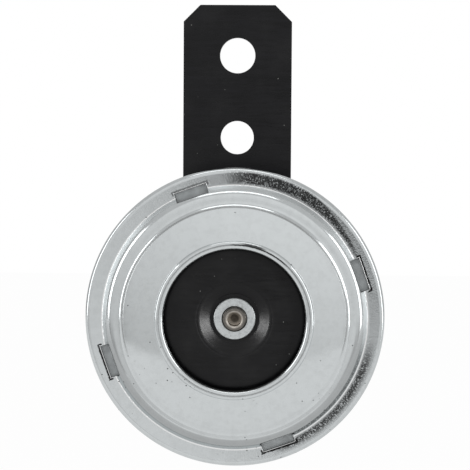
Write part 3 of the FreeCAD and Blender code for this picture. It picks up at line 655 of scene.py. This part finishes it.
# Fibre board, moulded plastic and enamelled wire
fibre_clouds = (0.3, 0.7)
fibre_depth = 0.03 * MM
moulded_cloud_scale = 120
moulded_clouds = (0.35, 0.7)
moulded_texture_scale = 1800
moulded_depth = 0.01 * MM
enamel_scale = 300
copper_colour = (0.62, 0.24, 0.11)
enamel_colour = (0.4, 0.13, 0.06)
wire_pitch = 0.45 * MM
wire_depth = 0.03 * MM


def fibre(name, colour, darker, roughness, scale):
    """Pressed board or paper: cloudy, with short fibres."""
    surface = Surface(name, colour, roughness, specular=0.3)
    clouds = surface.noise(scale / 6, detail=4)
    fibres = surface.noise(scale, detail=4, roughness=0.7)
    surface.colour(surface.mix(surface.ramp(clouds, *fibre_clouds), colour, darker))
    surface.bump((fibres, fibre_depth))
    return surface


def moulded(name, colour, darker, roughness):
    """Moulded plastic with a fine texture."""
    surface = Surface(name, colour, roughness)
    clouds = surface.noise(moulded_cloud_scale, detail=3)
    surface.colour(surface.mix(surface.ramp(clouds, *moulded_clouds), colour, darker))
    surface.bump((surface.noise(moulded_texture_scale), moulded_depth))
    return surface


def copper_wire():
    """Enamelled copper, wound in fine turns where it fills the bobbin."""
    surface = Surface("copper_wire", copper_colour, 0.3, metallic=1.0)
    turns = surface.math("SINE", surface.product(surface.split(surface.place)["Y"], 2 * math.pi / wire_pitch))
    surface.colour(surface.mix(surface.noise(enamel_scale), copper_colour, enamel_colour))
    surface.bump((turns, wire_depth))
    return surface


steel_colour = (0.46, 0.43, 0.39)
plated_thread_colour = (0.62, 0.62, 0.61)

# The tone disc's sloping wall: its inner and outer radius, and how much its paint flattens it
disc_wall = (5.9 * MM, 8.8 * MM, 0.9 * MM)

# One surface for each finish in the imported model, by the finish's name
enamel = black_paint("black_enamel", (0.006, 0.006, 0.007), roughness=0.22, specular=0.5, dust_share=0.04)
bracket_paint = black_paint(
    "black_bracket_paint", (0.002, 0.002, 0.003), roughness=0.24, specular=0.28, dust_share=0.13,
)
disc_paint = black_paint(
    "black_disc_paint", (0.001, 0.001, 0.0016), roughness=0.26, specular=0.24, dust_share=0.16,
    worn_wall=disc_wall,
)
gasket = fibre("gasket_fibre", (0.67, 0.71, 0.72), (0.53, 0.56, 0.57), roughness=0.85, scale=3000)
board = fibre("phenolic_board", (0.16, 0.07, 0.03), (0.10, 0.04, 0.02), roughness=0.45, scale=1800)
surfaces = {surface.name: surface for surface in (
    chrome_plate(),
    enamel,
    bracket_paint,
    disc_paint,
    gasket,
    board,
    turned_metal("zinc_plate", (0.65, 0.68, 0.685), roughness=0.3),
    turned_metal("bare_steel", steel_colour, roughness=0.3),
    turned_metal("spring_steel", (0.50, 0.50, 0.50), roughness=0.28),
    turned_metal("contact_alloy", (0.78, 0.76, 0.73), roughness=0.25),
    turned_metal("tinned_brass", (0.70, 0.62, 0.46), roughness=0.28),
    moulded("bobbin_nylon", (0.55, 0.52, 0.45), (0.48, 0.45, 0.38), roughness=0.4),
    copper_wire(),
)}

# Nodes whose surface has more on it than their finish: threads, and the hollow end of the staked shank
stud_thread = (0, 3 * MM, 1 * MM, -1 * MM)
adjuster_thread = (19.8 * MM, 2 * MM, 0.7 * MM, -9 * MM)
shank_end = (1.6 * MM, 2.6 * MM)
special_surfaces = {
    "pole_core": turned_metal("stud_thread", plated_thread_colour, 0.3, thread=stud_thread),
    "adjusting_screw": turned_metal("screw_thread", plated_thread_colour, 0.3, thread=adjuster_thread),
    "armature": turned_metal("staked_shank", steel_colour, 0.3, shank=shank_end),
}
finishes = {}
for name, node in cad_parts.items():
    for slot in node.material_slots:
        finishes[name] = slot.material.name.split(".")[0]
        slot.link = "OBJECT"
        slot.material = special_surfaces.get(name, surfaces[finishes[name]]).material


def node_copy(node, piece):
    """A copy of a CAD node's mesh under a new name, with the node's materials."""
    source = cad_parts[node]
    copy = bpy.data.objects.new(piece, source.data.copy())
    bpy.context.collection.objects.link(copy)
    for own, given in zip(copy.material_slots, source.material_slots):
        own.link = "OBJECT"
        own.material = given.material
    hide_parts(node)
    return copy


# The most that the normal of a turned surface strays round the axis, as the sine of its angle. Where a
# normal strays further, the surface isn't round: the slots' cut edges
most_stray = math.sin(math.radians(8))


def round_copy(node, piece, body):
    """A copy of a pressed round node whose shading follows its true round surface between the facets.

    The normals lose the small part that points round the axis, which no turned surface has.
    """
    copy = node_copy(node, piece)
    mesh = copy.data
    normals = []
    for loop, corner in zip(mesh.loops, mesh.corner_normals):
        place = mesh.vertices[loop.vertex_index].co
        outwards = Vector((place.x, 0, place.z - axis_z)).normalized()
        round_axis = outwards.cross(Vector((0, 1, 0)))
        stray = corner.vector.dot(round_axis)
        normal = corner.vector.copy()
        if abs(stray) < most_stray:
            normal -= round_axis * stray
        normals.append(normal.normalized())
    mesh.normals_split_custom_set(normals)
    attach(copy, body)
    return copy


round_copy("front_cover", "round_front_cover", "horn_body")
round_disc = round_copy("tone_disc", "round_tone_disc", "vibrating_group")

# The two springs, the diaphragm and the moving contact arm: copies with their placing baked into the mesh
diaphragm = node_copy("diaphragm", "flexing_diaphragm")
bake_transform(diaphragm)
contact_arm = node_copy("moving_contact_arm", "bending_contact_arm")
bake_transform(contact_arm)


# Studio: pale walls which the camera sees as white, and the dark shape of whoever takes the picture
wall_white = 0.83
wall_lift_upwards = 0.24
wall_lift_rightwards = 0.09
wall_most = 0.98
side_wall_share = 0.7
side_wall_from = math.radians(58)
side_wall_to = math.radians(49)
fill_light = 0.55
operator_right = math.radians(3.2)  # of the dark shape's middle, where it is level with the axis
operator_lean = -0.2
operator_half_width = math.radians(5.2)
operator_parts = (  # middle above the axis, half height, light that it leaves
    (math.radians(-0.8), math.radians(3.3), 0.01),
    (math.radians(-9.2), math.radians(1.4), 0.45),
)
operator_soft = math.radians(0.6)
low_glow = 0.15
low_glow_height = (-0.17, -0.07)  # of the reflected direction: full below the first, none above the second
low_glow_ahead = (0.93, 0.97)


def add_world():
    """White for the camera. In reflections, pale walls, and the dark shape of whoever takes the picture."""
    world = bpy.data.worlds.new("studio")
    bpy.context.scene.world = world
    world.use_nodes = True
    nodes = Nodes(world.node_tree)
    parts = nodes.split(nodes.coordinates("Generated"))
    ahead = nodes.product(parts["Y"], -1.0)
    across = nodes.math("ARCTAN2", parts["X"], ahead)
    above_angle = nodes.math("ARCTAN2", parts["Z"], ahead)
    leaning = nodes.math("ADD", nodes.product(above_angle, operator_lean), operator_right)
    past_side = nodes.math("ABSOLUTE", nodes.math("SUBTRACT", across, leaning))
    past_side = nodes.math("SUBTRACT", past_side, operator_half_width)
    clear_of_operator = 1.0
    for middle_angle, half_height, light_left in operator_parts:
        past_end = nodes.math("ABSOLUTE", nodes.math("SUBTRACT", above_angle, middle_angle))
        past = nodes.most(past_side, nodes.math("SUBTRACT", past_end, half_height))
        shade = nodes.ramp(past, -operator_soft, operator_soft, light_left, 1.0)
        clear_of_operator = nodes.math("MINIMUM", shade, clear_of_operator)
    side_edges = (math.cos(side_wall_from), math.cos(side_wall_to))
    off_to_side = nodes.ramp(ahead, *side_edges, side_wall_share, 1.0)
    wall = nodes.math("ADD", wall_white, nodes.product(parts["Z"], wall_lift_upwards))
    wall = nodes.math("ADD", wall, nodes.product(parts["X"], wall_lift_rightwards))
    glow = nodes.ramp(parts["Z"], *low_glow_height, low_glow, 0.0)
    wall = nodes.math("ADD", wall, nodes.product(glow, nodes.ramp(ahead, *low_glow_ahead)))
    wall = nodes.product(nodes.math("MINIMUM", wall, wall_most), off_to_side, clear_of_operator)
    light = nodes.choose(nodes.any_ray("Is Glossy Ray"), fill_light, wall)
    seen = nodes.any_ray("Is Camera Ray", "Is Transmission Ray")
    background = nodes.tree.nodes["Background"]
    background.inputs["Color"].default_value = (1, 1, 1, 1)
    nodes.feed(background, "Strength", nodes.choose(seen, light, 1.0))


# A white table top under the horn, whose near edge lies in front of it
floor_drop = 240 * MM
floor_near_edge = 520 * MM
floor_far_edge = 3000 * MM
floor_half_width = 2500 * MM
floor_colour = (0.85, 0.85, 0.85)
floor_roughness = 0.9
floor_white_ahead = 0.95
# Seen in reflections, the floor glows less under the horn: a painted shadow
floor_glow_under_painted_shadow = 0.9
floor_dims = (-250 * MM, -60 * MM)  # along Y, from the brighter part ahead to the part under the horn
floor_glow_share = 0.97  # the rest is lit by the lamps, and shows the shadow


def add_floor():
    """A plain white table top under the horn, which also stands for the page behind it."""
    mesh = bpy.data.meshes.new("floor")
    z = axis_z - floor_drop
    corners = [
        (-floor_half_width, -floor_near_edge, z), (floor_half_width, -floor_near_edge, z),
        (floor_half_width, floor_far_edge, z), (-floor_half_width, floor_far_edge, z),
    ]
    mesh.from_pydata(corners, [], [(0, 1, 2, 3)])
    floor = bpy.data.objects.new("floor", mesh)
    bpy.context.collection.objects.link(floor)
    material = bpy.data.materials.new("floor_white")
    material.use_nodes = True
    nodes = Nodes(material.node_tree)
    shader = nodes.tree.nodes["Principled BSDF"]
    shader.inputs["Base Color"].default_value = (*floor_colour, 1)
    shader.inputs["Roughness"].default_value = floor_roughness
    along_y = nodes.split(nodes.coordinates("Object"))["Y"]
    # painted shadow under the horn, seen only in reflections
    glow_with_painted_shadow = nodes.ramp(along_y, *floor_dims, floor_white_ahead, floor_glow_under_painted_shadow)
    glow = nodes.tree.nodes.new("ShaderNodeEmission")
    nodes.feed(glow, "Strength", nodes.most(glow_with_painted_shadow, nodes.any_ray("Is Camera Ray", "Is Transmission Ray")))
    seen = nodes.any_ray("Is Camera Ray", "Is Glossy Ray", "Is Transmission Ray")
    mixed = nodes.tree.nodes.new("ShaderNodeMixShader")
    for socket, value in enumerate((
        nodes.product(seen, floor_glow_share), shader.outputs[0], glow.outputs[0],
    )):
        nodes.feed(mixed, socket, value)
    nodes.feed(nodes.tree.nodes["Material Output"], "Surface", mixed.outputs[0])
    mesh.materials.append(material)


# Lamps, by name: degrees off the horn's axis, degrees round it, metres round it, metres deep, radiance
light_distance = 1200 * MM
soft_boxes = {
    "soft_box_right": (72, 14, 1.0, 0.4, 2.4),
    "soft_box_left": (72, 163, 0.95, 0.4, 2.4),
    "soft_box_top": (76, 90, 0.85, 0.24, 1.7),
}
disc_lamps = {
    "disc_lamp_right": (49, 8, 0.5, 0.3, 42.0),
    "disc_lamp_left": (49, 173, 0.4, 0.26, 33.0),
}


def add_lights():
    """Three soft boxes well to the horn's sides, which draw its bright lines, and two lamps which give
    the tone disc alone the gleams beside its washer.
    """
    centre = Vector((0, rim_plane_y, axis_z))
    disc_alone = bpy.data.collections.new("disc_alone")
    disc_alone.objects.link(round_disc)
    for name, values in {**soft_boxes, **disc_lamps}.items():
        degrees_off, degrees_round, width, depth, radiance = values
        off_axis = math.radians(degrees_off)
        roll = math.radians(degrees_round)
        light = bpy.data.lights.new(name, "AREA")
        light.shape = "RECTANGLE"
        light.size = width
        light.size_y = depth
        light.energy = radiance * math.pi * width * depth
        box = bpy.data.objects.new(name, light)
        outwards = Vector((
            math.sin(off_axis) * math.cos(roll), -math.cos(off_axis), math.sin(off_axis) * math.sin(roll),
        ))
        along = Vector((-math.sin(roll), 0, math.cos(roll)))
        turned = Matrix((along, outwards.cross(along), outwards)).transposed()
        box.matrix_world = Matrix.Translation(centre + outwards * light_distance) @ turned.to_4x4()
        bpy.context.collection.objects.link(box)
        if name in disc_lamps:
            box.light_linking.receiver_collection = disc_alone
            box.visible_diffuse = False


add_camera()
add_world()
add_floor()
add_lights()
bpy.context.scene.view_settings.view_transform = "Standard"
